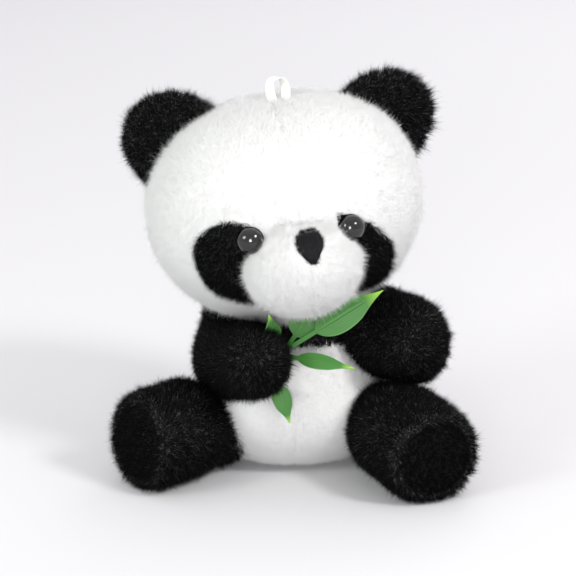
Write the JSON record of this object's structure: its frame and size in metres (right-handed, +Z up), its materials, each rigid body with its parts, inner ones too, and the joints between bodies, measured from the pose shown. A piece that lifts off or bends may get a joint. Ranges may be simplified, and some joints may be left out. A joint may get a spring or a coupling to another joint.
{
  "type": "plush panda",
  "caption": "Small seated plush panda with sewn limbs, plastic eyes, a crown hanging loop and a leafy plastic bamboo sprig in one paw.",
  "frame": {"origin": "middle of the flat underside of the body, where the toy sits on a surface", "axes": "+Z up, the face and feet point to -Y, the toy's own left hand is on +X"},
  "size_m": [0.0978, 0.0785, 0.1109],
  "materials": {
    "white_plush": "short white plush pile, matt",
    "black_plush": "short black plush pile, matt with a slight sheen",
    "stuffing": "loose polyester fibre",
    "bean_cloth": "woven cotton pouch of plastic beans",
    "eye_clear": "clear moulded acrylic dome",
    "eye_dark": "gloss black plastic",
    "washer_plastic": "natural nylon",
    "nose_thread": "satin-stitched thread",
    "seam_thread": "sewing thread",
    "ribbon": "white satin ribbon",
    "leaf_green": "moulded soft plastic, satin gloss",
    "stem_green": "moulded soft plastic, satin gloss"
  },
  "bodies": {
    "body": {"yoke_front": "black_plush", "yoke_back": "black_plush", "belly_right": "white_plush", "belly_left": "white_plush", "back_right": "white_plush", "back_left": "white_plush", "base_panel": "white_plush", "body_stuffing": "stuffing", "bean_pouch": "bean_cloth"},
    "neck": {"neck_seam": "seam_thread"},
    "head": {"face_right": "white_plush", "face_left": "white_plush", "head_back_right": "white_plush", "head_back_left": "white_plush", "eye_patch_right": "black_plush", "eye_patch_left": "black_plush", "muzzle_right": "white_plush", "muzzle_left": "white_plush", "head_stuffing": "stuffing", "muzzle_stuffing": "stuffing", "eye_back_right": "eye_dark", "eye_back_left": "eye_dark", "eye_lens_right": "eye_clear", "eye_lens_left": "eye_clear", "eye_washer_right": "washer_plastic", "eye_washer_left": "washer_plastic", "nose": "nose_thread"},
    "ear_right": {"ear_front_right": "black_plush", "ear_back_right": "black_plush"},
    "ear_left": {"ear_front_left": "black_plush", "ear_back_left": "black_plush"},
    "loop": {"hanging_loop": "ribbon"},
    "arm_right": {"arm_upper_right": "black_plush", "arm_lower_right": "black_plush", "arm_stuffing_right": "stuffing"},
    "arm_left": {"arm_upper_left": "black_plush", "arm_lower_left": "black_plush", "arm_stuffing_left": "stuffing"},
    "leg_right": {"leg_right": "black_plush", "sole_right": "black_plush", "leg_stuffing_right": "stuffing"},
    "leg_left": {"leg_left": "black_plush", "sole_left": "black_plush", "leg_stuffing_left": "stuffing"},
    "sprig": {"stem": "stem_green", "leaf_small": "leaf_green", "leaf_middle": "leaf_green", "leaf_large": "leaf_green", "leaf_low": "leaf_green", "leaf_hanging": "leaf_green"}
  },
  "joints": [
    {"name": "neck_nod", "type": "hinge", "parent": "body", "child": "neck", "pos_m": [-0.0025, -0.003, 0.0428], "axis": [1, 0, 0], "range_deg": [-7, 0], "stiffness_Nm_per_rad": 0.15},
    {"name": "neck_turn", "type": "hinge", "parent": "neck", "child": "head", "pos_m": [-0.0025, -0.003, 0.0428], "axis": [0, 0, 1], "range_deg": [-15, 3], "stiffness_Nm_per_rad": 0.08},
    {"name": "ear_fold_right", "type": "hinge", "parent": "head", "child": "ear_right", "pos_m": [-0.03099, -0.00574, 0.0904], "axis": [0.6157, 0.092, 0.7826], "range_deg": [-18, 18], "stiffness_Nm_per_rad": 0.004},
    {"name": "ear_fold_left", "type": "hinge", "parent": "head", "child": "ear_left", "pos_m": [0.024, 0.00248, 0.09439], "axis": [0.6993, 0.1045, -0.7071], "range_deg": [-18, 18], "stiffness_Nm_per_rad": 0.004},
    {"name": "loop_fold", "type": "hinge", "parent": "head", "child": "loop", "pos_m": [-0.00336, -0.00515, 0.10334], "axis": [0.989, 0.1478, 0], "range_deg": [-40, 40], "stiffness_Nm_per_rad": 0.0002},
    {"name": "shoulder_right", "type": "hinge", "parent": "body", "child": "arm_right", "pos_m": [-0.017, -0.011, 0.0359], "axis": [-0.9637, -0.2668, 0], "range_deg": [-7, 0], "stiffness_Nm_per_rad": 0.05},
    {"name": "shoulder_left", "type": "hinge", "parent": "body", "child": "arm_left", "pos_m": [0.0175, -0.004, 0.0368], "axis": [-0.7372, -0.6757, 0], "range_deg": [-4, 6], "stiffness_Nm_per_rad": 0.05},
    {"name": "hip_right", "type": "hinge", "parent": "body", "child": "leg_right", "pos_m": [-0.022, -0.013, 0.0132], "axis": [-0.7105, 0.7036, 0], "range_deg": [0, 12], "stiffness_Nm_per_rad": 0.05},
    {"name": "hip_left", "type": "hinge", "parent": "body", "child": "leg_left", "pos_m": [0.022, -0.017, 0.0146], "axis": [-0.8536, -0.5209, 0], "range_deg": [0, 12], "stiffness_Nm_per_rad": 0.05},
    {"name": "sprig_tilt", "type": "hinge", "parent": "arm_right", "child": "sprig", "pos_m": [-0.0006, -0.0286, 0.032], "axis": [1, 0, 0], "range_deg": [-4, 1], "stiffness_Nm_per_rad": 0.002}
  ]
}
